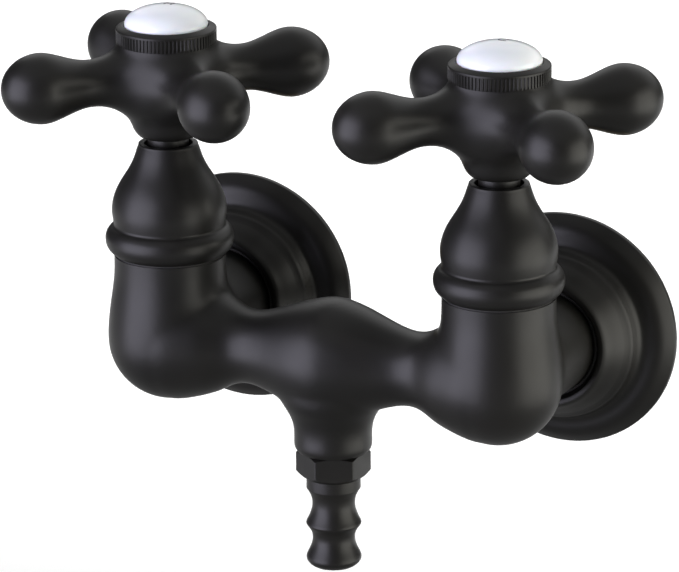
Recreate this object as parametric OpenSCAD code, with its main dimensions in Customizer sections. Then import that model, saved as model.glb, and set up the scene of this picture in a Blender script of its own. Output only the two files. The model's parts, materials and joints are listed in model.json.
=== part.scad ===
// Wall mounted bath faucet: two quarter-turn valves on one bridge casting,
// with round wall flanges behind and a barbed hose nozzle below.
//
// Millimetres. +X points to the cold side, +Y into the wall, +Z up.
// The origin is midway between the two inlets, on the face of the wall.

/* [Overall] */
// Distance between the two inlet centres
inlet_centres = 85.7; // [84:0.1:110]
// Distance from the wall to the valve axes
wall_reach = 42.4; // [42:0.1:60]
// Height of the casting's own axis, measured from the inlets
casting_z = -1.2; // [-2:0.1:0]

/* [Casting] */
// How far the rounded valve bulb swells out beyond its inlet arm
bulb_swell = 2.6; // [2.2:0.1:5]
// Diameter of the valve body just under the bonnet
body_top_d = 26.8; // [26:0.1:32]
// Height of the shoulder that carries the bonnet
body_top_z = 19.5; // [18:0.1:26]
// Diameter of the threaded neck above the shoulder
neck_d = 22.8; // [22:0.1:26]
// Height of the threaded neck
neck_h = 3.6; // [3:0.1:5]
// Diameter of the bridge at its waists
bridge_d = 16.8; // [15:0.1:20]
// Diameter of the bridge's central hump
hump_d = 28.6; // [24:0.1:32]
// Distance from the centre of the bridge to its waists
waist_x = 22; // [20:0.1:24]
// Diameter of the outlet boss
boss_d = 18.4; // [18:0.1:24]
// Height of the outlet boss's lower end
boss_z = -24.2; // [-32:0.1:-22]
// Diameter of the inlet arms
arm_d = 25.2; // [25:0.1:30.4]

/* [Waterways] */
// Diameter of the cartridge chamber
chamber_d = 18.4; // [17:0.1:18.8]
// Height of the floor that the cartridge's seal presses on
seat_z = 6; // [5:0.1:8]
// Diameter of the inlet passages
inlet_bore_d = 9; // [8:0.1:9.4]
// Diameter of the passages along the bridge
bridge_bore_d = 8; // [6:0.1:9]
// Diameter of the port between the bridge and the chamber
port_d = 3.4; // [3:0.1:3.6]
// Diameter of the outlet's threaded hole
outlet_thread_d = 13.2; // [12:0.1:14]

/* [Wall fixing] */
// Diameter of the wall flanges
flange_d = 57.2; // [54:0.1:70]
// Depth of a wall flange, with its gasket
flange_depth = 16.2; // [15:0.1:24]
// Gap all round between an inlet arm and its flange
flange_gap = 0.9; // [0.6:0.1:2]
// Wall thickness of the pressed flange
flange_wall = 1.2; // [1:0.1:1.5]
// Thickness of the gasket behind a flange
gasket_t = 1; // [0.8:0.1:1.5]
// Outside diameter of the inlet shanks' thread
shank_d = 20.96; // [20:0.01:22]
// Bore of the inlet shanks
shank_bore_d = 13; // [12:0.1:14]
// How far the shanks stand out behind the wall's face
shank_out = 26; // [24:0.1:40]
// How far the shanks screw into the arms
shank_in = 12; // [10:0.1:14]
// Thickness of the wall that the lock nuts clamp
clamped_wall = 8; // [4:0.1:9]
// Width of the groove behind the lock nut, where the supply's thread ends
thread_groove_w = 1; // [0.8:0.1:1.5]
// Depth of that groove
thread_groove_depth = 0.7; // [0.4:0.1:1]
// Thickness of the rubber washer behind the wall
wall_washer_t = 2; // [1:0.1:2.5]
// Thickness of the steel washer under the lock nut
slip_washer_t = 1; // [0.8:0.1:1.5]
// Lock nut, across its flats
lock_nut_af = 30; // [28:0.1:32]
// Lock nut thickness
lock_nut_h = 5.5; // [5:0.1:8]

/* [Bonnet] */
// Height of the bonnet
bonnet_h = 27; // [26:0.1:34]
// How far the bead round its foot stands out beyond the body
bead_out = 2; // [1:0.1:3]
// Height of that bead
bead_h = 7.2; // [6:0.1:8]
// Diameter of its bell
bell_d = 27.5; // [27:0.1:33]
// Diameter of its top edge
rim_d = 14.3; // [14:0.1:18]
// Diameter of the hole in its top
rim_hole_d = 11.4; // [11:0.1:12]
// Thickness of the ring between bonnet and casting
bonnet_ring_t = 0.5; // [0.4:0.1:1]

/* [Cartridge] */
// Diameter of the ceramic discs
disc_d = 13; // [12:0.1:14]
// Thickness of each disc
disc_t = 2; // [1.5:0.1:2.5]
// Thickness of the rubber seat seal
seat_seal_t = 1.6; // [1:0.1:2]
// Hexagon of the cartridge, across its flats
cartridge_af = 19; // [18:0.1:19.2]
// Height of that hexagon
cartridge_hex_h = 4; // [3:0.1:6]
// Diameter of the spindle
spindle_d = 7.2; // [6:0.1:7.6]
// Number of splines on the handle end
splines = 20; // [16:1:24]

/* [Handle] */
// Gap between the bonnet's top edge and the handle
handle_gap = 1.7; // [1:0.1:3]
// Height of the handle's hub
hub_h = 23.3; // [22:0.1:30]
// Diameter of the hub under the index ring
hub_d = 22.6; // [20:0.1:26]
// Diameter of the hub's lower end
hub_foot_d = 13; // [12:0.1:16]
// Length of the collar that enters the bonnet
collar_h = 2.4; // [1:0.1:2.8]
// Height of the arms above the hub's lower end
arm_h = 14.8; // [13:0.1:18]
// Distance from the handle's axis to the tip of an arm
handle_reach = 41; // [36:0.1:42]
// Diameter of an arm at its thin place
arm_neck_d = 10.8; // [9:0.1:12]
// Diameter of an arm's rounded end
knob_d = 16.9; // [14:0.1:18]
// Distance from the widest place of an arm's end to its tip
knob_end = 9.7; // [8:0.1:10]
// Number of arms
arms = 4; // [3:1:5]
// Angle of the arms when the valve is closed
closed_angle = 47; // [0:1:90]

/* [Index button] */
// Diameter of the knurled ring
ring_d = 23.9; // [22:0.1:26]
// Height of the knurled ring
ring_h = 4.4; // [4:0.1:6]
// Diameter of the porcelain button
button_d = 19.8; // [18:0.1:21]
// Height of the button's dome
dome_h = 4.5; // [3:0.1:6]

/* [Hose nozzle] */
// Length of the nozzle below the boss
nozzle_l = 29.4; // [26:0.1:40]
// Hexagon of the nozzle, across its flats
nozzle_af = 15.6; // [15:0.1:18]
// Height of that hexagon
nozzle_hex_h = 6.8; // [6:0.1:10]
// Angle that the hexagon comes to when it is tight
nozzle_turn = 26; // [0:1:59]
// Diameter over the barbs
barb_d = 13.2; // [12:0.1:16]
// Diameter between the barbs
barb_waist_d = 10.1; // [9:0.1:12]
// Bore of the nozzle
nozzle_bore_d = 7; // [5:0.1:7.4]
// Length of the nozzle's thread in the boss
nozzle_thread_l = 9; // [7:0.1:10]

/* [Hidden] */
$fn = 96;
hot = -1;
cold = 1;
fit = 0.05;                 // radial gap of parts that slide or turn in each other
eps = 0.01;                 // overshoot of cuts
corner = 2 / sqrt(3);       // across corners of a hexagon, from across flats

finish = "#2b2a2c";
porcelain = "#f4f6f8";
brass = "#b8923f";
rubber = "#1c1c1c";
alumina = "#e9e6df";
steel = "#a9abae";

// Casting
bulb_r = arm_d / 2 + bulb_swell;
neck_top_z = body_top_z + neck_h;
lower_chamber_r = inlet_bore_d / 2;
port_offset = (chamber_d - port_d) / 2 - 0.1;
seal_land = 1.1;            // width of the seat round the lower chamber
arm_end = gasket_t;         // distance from the wall to the end of an arm
shank_hole_d = shank_d - 2; // the shank is turned down where it enters the arm
flange_hole_d = arm_d + 2 * flange_gap;
step_out = 0.71;            // radius of the flange's step, from that of its rim
wall_washer_d = shank_d + 11.4;
slip_washer_d = shank_d + 10.2;
stack_gap = 0.1;            // clearance between the pieces stacked on a shank
slip_washer_y = clamped_wall + wall_washer_t + stack_gap;
lock_nut_y = slip_washer_y + slip_washer_t + stack_gap;
thread_groove_y = lock_nut_y + lock_nut_h + 0.3;

// Cartridge, from its seal upwards
disc_z = seat_z + seat_seal_t;
moving_disc_z = disc_z + disc_t + 0.02;
driver_z = moving_disc_z + disc_t;
driver_t = 2.4;
driver_r = disc_d / 2 - 0.6;
driver_w = 4;
groove_depth = 0.9;
cage_r = chamber_d / 2 - fit;
spline_d = spindle_d - 0.6;  // the splined end passes through the barrel
hex_z = neck_top_z;
barrel_r = 5;
stem_guide_z = driver_z + driver_t + 0.3;
spindle_seal_z = stem_guide_z + 6;

// Bonnet
bonnet_z = body_top_z + bonnet_ring_t;
bead_d = body_top_d + 2 * bead_out;
rim_z = bonnet_z + bonnet_h;
barrel_top_z = rim_z - 2.4;

// Handle
handle_z = rim_z + handle_gap;
hub_top_z = handle_z + hub_h;
collar_d = spindle_d + 2.6;
knob_x = handle_reach - knob_end;
neck_x = knob_x * 0.6;
socket_h = 10.5;
screw_seat_z = handle_z + socket_h + 2.5;
screw_head_h = 2.4;
screw_head_d = 7;
screw_d = 4;
well_d = 13;                // recess in the hub that takes the ring's thread
well_h = 5;
spindle_top_z = handle_z + socket_h;

// Index button
ring_z = hub_top_z + 0.05;
ring_floor = 1.1;
button_z = ring_z + ring_floor + 0.05;
dome_z = ring_z + ring_h - 0.35;

// Nozzle
nozzle_z = boss_z - 0.1;
nozzle_end_z = nozzle_z - nozzle_l;

// ---- helpers ----

// Points on an arc from angle a0 to a1
function arc(c, r, a0, a1, n = 8) =
    [for (i = [0:n]) let (a = a0 + (a1 - a0) * i / n) c + r * [cos(a), sin(a)]];

// Points on a cubic curve from p0 to p3, leaving towards p1 and arriving from p2
function curve(p0, p1, p2, p3, n = 8) =
    [for (i = [0:n]) let (t = i / n, s = 1 - t)
        s*s*s*p0 + 3*s*s*t*p1 + 3*s*t*t*p2 + t*t*t*p3];

// Puts a valve's part, modelled about its own axis, at the hot or the cold valve
module at_valve(side) {
    translate([side * inlet_centres / 2, -wall_reach, 0]) children();
}

// Puts a part modelled upwards from z = 0 so that it runs out from the wall at an inlet
module at_inlet(side) {
    translate([side * inlet_centres / 2, 0, 0]) rotate([90, 0, 0]) children();
}

// Flat ring or tube
module tube(r_out, r_in, h) {
    difference() {
        cylinder(r = r_out, h = h);
        translate([0, 0, -eps]) cylinder(r = r_in, h = h + 2 * eps);
    }
}

// Round rubber ring: centre circle radius r, section radius s
module seal_ring(r, s) {
    rotate_extrude() translate([r, 0]) circle(r = s, $fn = 32);
}

module hexagon(af, h) {
    cylinder(d = af * corner, h = h, $fn = 6);
}

// ---- casting ----

module valve_bulb() {
    taper = 7;              // lean of the body's side, in degrees
    cast_top = body_top_z - 4.5;
    rotate_extrude() polygon(concat(
        arc([0, casting_z], bulb_r, -90, taper, 16),
        [[body_top_d / 2, cast_top], [body_top_d / 2, body_top_z]],
        [[neck_d / 2, body_top_z], [neck_d / 2, neck_top_z], [0, neck_top_z]]
    ));
}

module bridge() {
    n = 20;
    hump = [for (i = [-n:n]) let (x = waist_x * i / n)
        [(bridge_d + (hump_d - bridge_d) * (1 + cos(180 * i / n)) / 2) / 2, x]];
    end_x = inlet_centres / 2;
    rotate([0, 90, 0]) rotate_extrude() polygon(concat(
        [[0, -end_x], [bridge_d / 2, -end_x]], hump, [[bridge_d / 2, end_x], [0, end_x]]
    ));
}

module outlet_boss() {
    r = boss_d / 2;
    fillet = 9;
    chamfer = 0.6;
    fillet_z = boss_z + 5.2;
    rotate_extrude() polygon(concat(
        [[0, boss_z], [r - chamfer, boss_z], [r, boss_z + chamfer]],
        arc([r + fillet, fillet_z], fillet, 180, 140, 6),
        [[r, casting_z], [0, casting_z]]
    ));
}

module body_casting() {
    color(finish) difference() {
        union() {
            for (side = [hot, cold]) {
                at_valve(side) valve_bulb();
                at_inlet(side) translate([0, 0, arm_end]) cylinder(d = arm_d, h = wall_reach - arm_end);
            }
            translate([0, -wall_reach, casting_z]) bridge();
            translate([0, -wall_reach, 0]) outlet_boss();
        }
        for (side = [hot, cold]) {
            at_valve(side) {
                translate([0, 0, seat_z]) cylinder(d = chamber_d, h = neck_top_z);
                translate([0, 0, -lower_chamber_r]) cylinder(r = lower_chamber_r, h = neck_top_z);
                translate([-side * port_offset, 0, casting_z]) cylinder(d = port_d, h = neck_top_z);
            }
            at_inlet(side) {
                cylinder(d = inlet_bore_d, h = wall_reach);
                cylinder(d = shank_hole_d, h = arm_end + shank_in + 1);
            }
        }
        translate([port_offset - inlet_centres / 2, -wall_reach, casting_z]) rotate([0, 90, 0])
            cylinder(d = bridge_bore_d, h = inlet_centres - 2 * port_offset);
        translate([0, -wall_reach, boss_z - eps]) {
            cylinder(d = nozzle_bore_d + 1, h = casting_z - boss_z);
            cylinder(d = outlet_thread_d, h = nozzle_thread_l + 1);
            cylinder(d = outlet_thread_d + 2, h = 1.6);
        }
    }
}

// ---- wall fixing ----

// Outline of the flange's face, from its rim to its hole; the wall is at 0
function flange_face() = let (
        rim = flange_d / 2,
        step = rim * step_out,
        hole = flange_hole_d / 2,
        top = flange_depth
    ) concat(
        arc([rim - 0.9, gasket_t + 0.9], 0.9, 0, 70, 4),
        [[rim - 2.4, gasket_t + 2.4]],
        curve([rim - 3.4, gasket_t + 2.7], [rim - 5.4, gasket_t + 2.9],
            [step + 1, gasket_t + 4], [step, gasket_t + 5.6], 8),
        curve([step, gasket_t + 7], [step - 1.4, top - 4],
            [hole + 4.6, top - 1.2], [hole + 1.6, top - 0.2], 8),
        [[hole + 0.6, top], [hole, top - 0.6]]
    );

module wall_flange() {
    rim = flange_d / 2;
    hole = flange_hole_d / 2;
    inner_top = flange_depth - flange_wall;
    step = rim * step_out;
    color(finish) rotate_extrude() polygon(concat(
        [[rim, gasket_t]],
        flange_face(),
        [[hole, inner_top - 1.4], [hole + 1.8, inner_top - 1.4]],
        [[step - 3.2, gasket_t + 6], [step - 1.2, gasket_t + 4.2]],
        [[rim - 4.4, gasket_t + 1.4], [rim - 1.6, gasket_t + 1], [rim - 1.6, gasket_t]]
    ));
}

module flange_gasket() {
    color(rubber) tube(flange_d / 2 - 0.6, shank_d / 2 + 0.4, gasket_t);
}

// Rubber ring that steadies the flange on its arm
module flange_ring() {
    gap = (flange_hole_d - arm_d) / 2;
    color(rubber) translate([0, 0, flange_depth - flange_wall - 0.9])
        seal_ring(arm_d / 2 + gap / 2, gap / 2 - 0.02);
}

module inlet_shank() {
    shoulder = arm_end;
    color(brass) difference() {
        union() {
            translate([0, 0, -shank_out]) cylinder(d = shank_d, h = shank_out + shoulder);
            cylinder(d = shank_hole_d - 2 * fit, h = shoulder + shank_in);
        }
        translate([0, 0, -shank_out - eps]) cylinder(d = shank_bore_d, h = shank_out + shank_in + 4);
        translate([0, 0, -thread_groove_y - thread_groove_w])
            tube(shank_d / 2 + 1, shank_d / 2 - thread_groove_depth, thread_groove_w);
    }
}

module shank_seal() {
    color(rubber) translate([0, 0, arm_end + shank_in + 0.1])
        tube(shank_hole_d / 2 - fit, shank_bore_d / 2 + 0.4, 0.85);
}

module wall_washer() {
    color(rubber) translate([0, 0, -clamped_wall - wall_washer_t])
        tube(wall_washer_d / 2, shank_d / 2 + fit, wall_washer_t);
}

module slip_washer() {
    color(steel) translate([0, 0, -slip_washer_y - slip_washer_t])
        tube(slip_washer_d / 2, shank_d / 2 + fit, slip_washer_t);
}

module lock_nut() {
    chamfer = 0.9;
    corner_r = lock_nut_af * corner / 2;
    color(brass) translate([0, 0, -lock_nut_y - lock_nut_h]) difference() {
        intersection() {
            hexagon(lock_nut_af, lock_nut_h);
            rotate_extrude() polygon([
                [0, 0], [lock_nut_af / 2, 0], [corner_r, chamfer],
                [corner_r, lock_nut_h - chamfer], [lock_nut_af / 2, lock_nut_h], [0, lock_nut_h]
            ]);
        }
        translate([0, 0, -eps]) cylinder(d = shank_d + 2 * fit, h = lock_nut_h + 2 * eps);
    }
}

// ---- cartridge ----

// Two sector openings that line up when the valve is open
module disc_ports(h) {
    for (a = [0, 180]) rotate(a) intersection() {
        translate([0, 0, -eps]) tube(disc_d / 2 - 1.2, 1.6, h + 2 * eps);
        translate([0.5, 0.5, -1]) cube([disc_d, disc_d, h + 2]);
    }
}

module seat_seal() {
    color(rubber) translate([0, 0, seat_z])
        tube(lower_chamber_r + seal_land, lower_chamber_r - 0.2, seat_seal_t);
}

module fixed_disc() {
    color(alumina) translate([0, 0, disc_z]) difference() {
        cylinder(d = disc_d, h = disc_t);
        disc_ports(disc_t);
    }
}

// Closed at rest: its openings stand a quarter turn from those of the fixed disc
module moving_disc() {
    color(alumina) translate([0, 0, moving_disc_z]) difference() {
        cylinder(d = disc_d - 0.4, h = disc_t);
        rotate(90) disc_ports(disc_t);
    }
}

module cartridge_housing() {
    window_h = 3.2;
    color(brass) difference() {
        union() {
            translate([0, 0, seat_z + 0.4]) cylinder(r = cage_r - 0.8, h = hex_z - seat_z);
            translate([0, 0, hex_z - 7]) cylinder(r = cage_r, h = 7);
            translate([0, 0, hex_z]) hexagon(cartridge_af, cartridge_hex_h);
            translate([0, 0, hex_z]) cylinder(r = barrel_r, h = barrel_top_z - hex_z);
        }
        translate([0, 0, seat_z]) cylinder(d = disc_d + 2 * fit, h = stem_guide_z - seat_z);
        translate([0, 0, seat_z]) cylinder(d = spindle_d + 2 * fit, h = rim_z - seat_z);
        for (a = [0:90:270]) rotate(a + 45)
            translate([disc_d / 2 - 1, -1.6, moving_disc_z]) cube([6, 3.2, window_h]);
        translate([0, 0, hex_z - 0.9]) difference() {
            cylinder(r = cage_r + 1, h = 0.8);
            cylinder(r = cage_r - 0.75, h = 0.8);
        }
    }
}

module cartridge_seal() {
    color(rubber) translate([0, 0, hex_z - 0.88]) tube(cage_r - 0.02, cage_r - 0.73, 0.76);
}

module spindle() {
    clip_z = barrel_top_z + 0.1;
    core_r = spline_d / 2 - 0.35;
    color(brass) difference() {
        union() {
            translate([0, 0, driver_z]) intersection() {
                cylinder(r = driver_r, h = driver_t);
                rotate(45) translate([-driver_r, -driver_w / 2, 0]) cube([2 * driver_r, driver_w, driver_t]);
            }
            translate([0, 0, driver_z]) cylinder(d = spindle_d, h = handle_z - driver_z - 0.2);
            translate([0, 0, handle_z - 0.3]) cylinder(r = core_r, h = spindle_top_z - handle_z);
            for (i = [0:splines - 1]) rotate(i * 360 / splines)
                translate([0, -0.22, handle_z + 0.1]) cube([spline_d / 2, 0.44, socket_h - 1]);
        }
        translate([0, 0, spindle_seal_z - 0.7]) tube(spindle_d, spindle_d / 2 - groove_depth, 1.4);
        translate([0, 0, clip_z]) tube(spindle_d, spindle_d / 2 - 0.8, 0.8);
        translate([0, 0, spindle_top_z - 8.5]) cylinder(d = screw_d + 2 * fit, h = 9);
    }
}

module spindle_seal() {
    color(rubber) translate([0, 0, spindle_seal_z])
        seal_ring((spindle_d - groove_depth) / 2 + 0.02, groove_depth / 2);
}

// Open spring clip in the groove above the barrel
module spindle_clip() {
    inner = spindle_d / 2 - 0.75;
    color(steel) translate([0, 0, barrel_top_z + 0.15]) difference() {
        tube(spindle_d / 2 + 1, inner, 0.7);
        translate([0, -1.6, -eps]) cube([spindle_d, 3.2, 1]);
    }
}

// ---- bonnet ----

// Outline of the bonnet's outside, from its foot to its rim
function bonnet_face() = let (
        foot = body_top_d / 2 + 0.05,
        bead = bead_d / 2,
        bulge = bead - foot,
        r = (bead_h * bead_h / 4 + bulge * bulge) / (2 * bulge),
        sweep = asin(bead_h / 2 / r),
        bell = bell_d / 2,
        bell_z = bonnet_z + bead_h + 3.8,
        rim = rim_d / 2,
        waist_z = bonnet_z + bead_h + (bonnet_h - bead_h) * 0.64
    ) concat(
        arc([bead - r, bonnet_z + bead_h / 2], r, -sweep, sweep, 10),
        curve([bell - 0.35, bonnet_z + bead_h + 0.1], [bell - 0.1, bell_z - 2.4],
            [bell, bell_z - 1.2], [bell, bell_z], 4),
        curve([bell, bell_z], [bell, bell_z + 3.4],
            [rim + 4.2, waist_z - 2.2], [rim + 2.7, waist_z], 8),
        curve([rim + 2.7, waist_z], [rim + 1.1, waist_z + 2.4],
            [rim + 0.4, rim_z - 2.4], [rim, rim_z - 0.3], 6),
        [[rim - 0.3, rim_z]]
    );

module bonnet() {
    hole = rim_hole_d / 2;
    throat = neck_d / 2 + fit;
    color(finish) rotate_extrude() polygon(concat(
        [[throat, bonnet_z]],
        bonnet_face(),
        [[hole, rim_z], [hole, rim_z - 5]],
        [[throat - 0.6, bonnet_z + bead_h + 6], [throat, bonnet_z + bead_h + 2]]
    ));
}

module bonnet_ring() {
    color(rubber) translate([0, 0, body_top_z])
        tube(body_top_d / 2 - 0.35, neck_d / 2 + fit, bonnet_ring_t);
}

// ---- handle ----

// Radius of an arm at distance x from the handle's axis
function arm_radius(x) = let (neck = arm_neck_d / 2, knob = knob_d / 2)
    x <= neck_x ? neck :
    x <= knob_x ? neck + (knob - neck) * (1 - cos(180 * (x - neck_x) / (knob_x - neck_x))) / 2 :
    knob * sqrt(max(0, 1 - pow((x - knob_x) / (handle_reach - knob_x), 2)));

module handle_arm() {
    shaft = [for (i = [0:10]) let (x = neck_x + (knob_x - neck_x) * i / 10) [arm_radius(x), x]];
    knob = [for (a = [9:9:90]) let (x = knob_x + (handle_reach - knob_x) * sin(a)) [arm_radius(x), x]];
    rotate([0, 90, 0]) rotate_extrude() polygon(concat(
        [[0, 0], [arm_neck_d / 2, 0]], shaft, knob
    ));
}

module handle_hub() {
    foot = hub_foot_d / 2;
    top = hub_d / 2;
    rotate_extrude() polygon(concat(
        [[0, 0], [foot, 0]],
        curve([foot, 0], [foot + 2.4, 1.8], [top - 1, 4], [top - 0.8, 9], 8),
        curve([top - 0.8, 9], [top - 0.6, hub_h - 6], [top - 0.6, hub_h - 2], [top, hub_h], 5),
        [[0, hub_h]]
    ));
}

module handle() {
    color(finish) translate([0, 0, handle_z]) difference() {
        union() {
            handle_hub();
            for (i = [0:arms - 1]) rotate(closed_angle + i * 360 / arms)
                translate([0, 0, arm_h]) handle_arm();
            translate([0, 0, -collar_h]) cylinder(d = collar_d, h = collar_h + eps);
        }
        translate([0, 0, -collar_h - eps]) cylinder(d = spindle_d + 2 * fit, h = collar_h);
        translate([0, 0, -eps]) cylinder(d = spline_d + 2 * fit, h = socket_h + 0.1);
        cylinder(d = screw_d + 2 * fit, h = hub_h);
        translate([0, 0, screw_seat_z - handle_z]) cylinder(d = screw_head_d + 0.6, h = hub_h);
        translate([0, 0, hub_h - well_h]) cylinder(d = well_d, h = well_h + eps);
    }
}

module handle_screw() {
    screw_end_z = spindle_top_z - 8;
    color(steel) difference() {
        union() {
            translate([0, 0, screw_seat_z]) cylinder(d = screw_head_d, h = screw_head_h);
            translate([0, 0, screw_end_z]) cylinder(d = screw_d, h = screw_seat_z - screw_end_z + eps);
        }
        for (a = [0, 90]) rotate(a)
            translate([-2, -0.5, screw_seat_z + screw_head_h - 1.4]) cube([4, 1, 2]);
    }
}

// ---- index button ----

module index_ring() {
    r = ring_d / 2;
    lip = button_d / 2 + 0.1;
    side_h = ring_h - 1.3;
    teeth = 72;
    color(finish) translate([0, 0, ring_z]) difference() {
        union() {
            rotate_extrude() polygon([
                [0, 0], [r - 0.3, 0], [r - 0.3, side_h], [lip + 0.35, ring_h],
                [lip, ring_h - 0.2], [lip, ring_floor], [0, ring_floor]
            ]);
            for (i = [0:teeth - 1]) rotate(i * 360 / teeth)
                translate([r - 0.8, -0.25, 0.2]) cube([0.8, 0.5, side_h - 0.4]);
            translate([0, 0, -well_h + 0.6]) cylinder(d = well_d - 2 * fit, h = well_h);
        }
        translate([0, 0, -well_h]) cylinder(d = well_d - 3, h = well_h + ring_floor - 1);
    }
}

module index_button() {
    r = button_d / 2;
    dome_r = (r * r + dome_h * dome_h) / (2 * dome_h);
    color(porcelain) union() {
        translate([0, 0, button_z]) cylinder(r = r, h = dome_z - button_z);
        intersection() {
            translate([0, 0, dome_z + dome_h - dome_r]) sphere(r = dome_r);
            translate([0, 0, dome_z - eps]) cylinder(r = r, h = dome_h + 1);
        }
    }
}

// ---- hose nozzle ----

// Outline of the barbed tail, from its lower end up to the collar
function nozzle_tail() = let (
        barb = barb_d / 2,
        waist = barb_waist_d / 2,
        pitch = (nozzle_l - nozzle_hex_h - 4.6) / 2,
        low = nozzle_end_z
    ) concat(
        arc([barb - 1.7, low + 1.7], 1.7, -90, -15, 5),
        [[barb, low + 2.2], [barb, low + 2.8]],
        [for (k = [0:1]) each concat(
            curve([barb, low + 3 + k * pitch], [waist + 0.2, low + 5 + k * pitch],
                [waist - 0.4, low + 7.4 + k * pitch], [barb - 0.1, low + 2 + (k + 1) * pitch], 8),
            [[barb, low + 2.2 + (k + 1) * pitch], [barb, low + 2.8 + (k + 1) * pitch]]
        )]
    );

module hose_nozzle() {
    hex_low = nozzle_z - nozzle_hex_h;
    color(finish) translate([0, -wall_reach, 0]) difference() {
        union() {
            rotate_extrude() polygon(concat(
                [[0, nozzle_end_z]],
                nozzle_tail(),
                [[barb_d / 2, nozzle_z], [0, nozzle_z]]
            ));
            intersection() {
                translate([0, 0, hex_low]) rotate(nozzle_turn) hexagon(nozzle_af, nozzle_hex_h);
                rotate_extrude() polygon([
                    [0, hex_low], [nozzle_af / 2 - 1, hex_low], [nozzle_af * corner / 2, hex_low + 1.6],
                    [nozzle_af * corner / 2, nozzle_z - 0.6], [nozzle_af / 2, nozzle_z], [0, nozzle_z]
                ]);
            }
            translate([0, 0, nozzle_z - eps])
                cylinder(d = outlet_thread_d - 2 * fit, h = nozzle_thread_l);
        }
        translate([0, 0, nozzle_end_z - 1]) cylinder(d = nozzle_bore_d, h = nozzle_l + 20);
    }
}

module nozzle_seal() {
    color(rubber) translate([0, -wall_reach, boss_z + 0.85])
        seal_ring(outlet_thread_d / 2 + 0.47, 0.45);
}

// ---- the faucet ----

body_casting();
at_inlet(hot) wall_flange();  // hot_wall_flange
at_inlet(cold) wall_flange();  // cold_wall_flange
at_inlet(hot) flange_gasket();  // hot_flange_gasket
at_inlet(cold) flange_gasket();  // cold_flange_gasket
at_inlet(hot) flange_ring();  // hot_flange_ring
at_inlet(cold) flange_ring();  // cold_flange_ring
at_inlet(hot) inlet_shank();  // hot_inlet_shank
at_inlet(cold) inlet_shank();  // cold_inlet_shank
at_inlet(hot) shank_seal();  // hot_shank_seal
at_inlet(cold) shank_seal();  // cold_shank_seal
at_inlet(hot) wall_washer();  // hot_wall_washer
at_inlet(cold) wall_washer();  // cold_wall_washer
at_inlet(hot) slip_washer();  // hot_slip_washer
at_inlet(cold) slip_washer();  // cold_slip_washer
at_inlet(hot) lock_nut();  // hot_lock_nut
at_inlet(cold) lock_nut();  // cold_lock_nut
at_valve(hot) seat_seal();  // hot_seat_seal
at_valve(cold) seat_seal();  // cold_seat_seal
at_valve(hot) fixed_disc();  // hot_fixed_disc
at_valve(cold) fixed_disc();  // cold_fixed_disc
at_valve(hot) moving_disc();  // hot_moving_disc
at_valve(cold) moving_disc();  // cold_moving_disc
at_valve(hot) cartridge_housing();  // hot_cartridge_housing
at_valve(cold) cartridge_housing();  // cold_cartridge_housing
at_valve(hot) cartridge_seal();  // hot_cartridge_seal
at_valve(cold) cartridge_seal();  // cold_cartridge_seal
at_valve(hot) spindle();  // hot_spindle
at_valve(cold) spindle();  // cold_spindle
at_valve(hot) spindle_seal();  // hot_spindle_seal
at_valve(cold) spindle_seal();  // cold_spindle_seal
at_valve(hot) spindle_clip();  // hot_spindle_clip
at_valve(cold) spindle_clip();  // cold_spindle_clip
at_valve(hot) bonnet();  // hot_bonnet
at_valve(cold) bonnet();  // cold_bonnet
at_valve(hot) bonnet_ring();  // hot_bonnet_ring
at_valve(cold) bonnet_ring();  // cold_bonnet_ring
at_valve(hot) handle();  // hot_handle
at_valve(cold) handle();  // cold_handle
at_valve(hot) handle_screw();  // hot_handle_screw
at_valve(cold) handle_screw();  // cold_handle_screw
at_valve(hot) index_ring();  // hot_index_ring
at_valve(cold) index_ring();  // cold_index_ring
at_valve(hot) index_button();  // hot_index_button
at_valve(cold) index_button();  // cold_index_button
hose_nozzle();
nozzle_seal();
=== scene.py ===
# %% [markdown]
# # A wall mounted bath faucet
# This notebook finishes a faucet whose working parts already exist as a fixed frame: every node
# of the frame has its true place and size. Each step below takes one piece of the real faucet,
# says what it is, and builds its finished surface around the node that it stands for.

# %% Load the frame
import json
import math

import bmesh
import bpy
import numpy as np
from mathutils import Matrix, Vector


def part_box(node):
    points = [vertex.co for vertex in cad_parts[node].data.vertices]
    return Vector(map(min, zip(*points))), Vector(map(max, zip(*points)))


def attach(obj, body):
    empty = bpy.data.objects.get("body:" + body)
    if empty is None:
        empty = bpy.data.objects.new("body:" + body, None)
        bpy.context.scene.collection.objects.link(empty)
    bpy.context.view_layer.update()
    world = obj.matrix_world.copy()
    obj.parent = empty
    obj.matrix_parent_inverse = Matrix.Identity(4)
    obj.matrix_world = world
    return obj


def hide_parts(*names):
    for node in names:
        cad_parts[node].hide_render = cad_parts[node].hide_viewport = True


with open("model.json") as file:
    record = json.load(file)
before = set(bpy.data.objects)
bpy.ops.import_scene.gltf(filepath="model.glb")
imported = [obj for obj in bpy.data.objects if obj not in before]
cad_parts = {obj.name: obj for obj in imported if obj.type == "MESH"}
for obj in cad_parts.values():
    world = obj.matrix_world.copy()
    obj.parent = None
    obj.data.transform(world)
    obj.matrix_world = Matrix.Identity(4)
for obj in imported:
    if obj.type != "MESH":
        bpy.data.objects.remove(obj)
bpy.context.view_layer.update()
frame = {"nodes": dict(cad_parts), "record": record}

MM = 0.001

# %% [markdown]
# The two valves are alike, so one shape serves both and only its place differs. The places come
# from the frame: the middle of a bonnet's box is its valve's axis, and the middle of a flange's
# box is its inlet's axis.

# %% Places taken from the frame
SIDES = ("hot", "cold")


def middle(node):
    low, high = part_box(node)
    return (low + high) / 2


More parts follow.
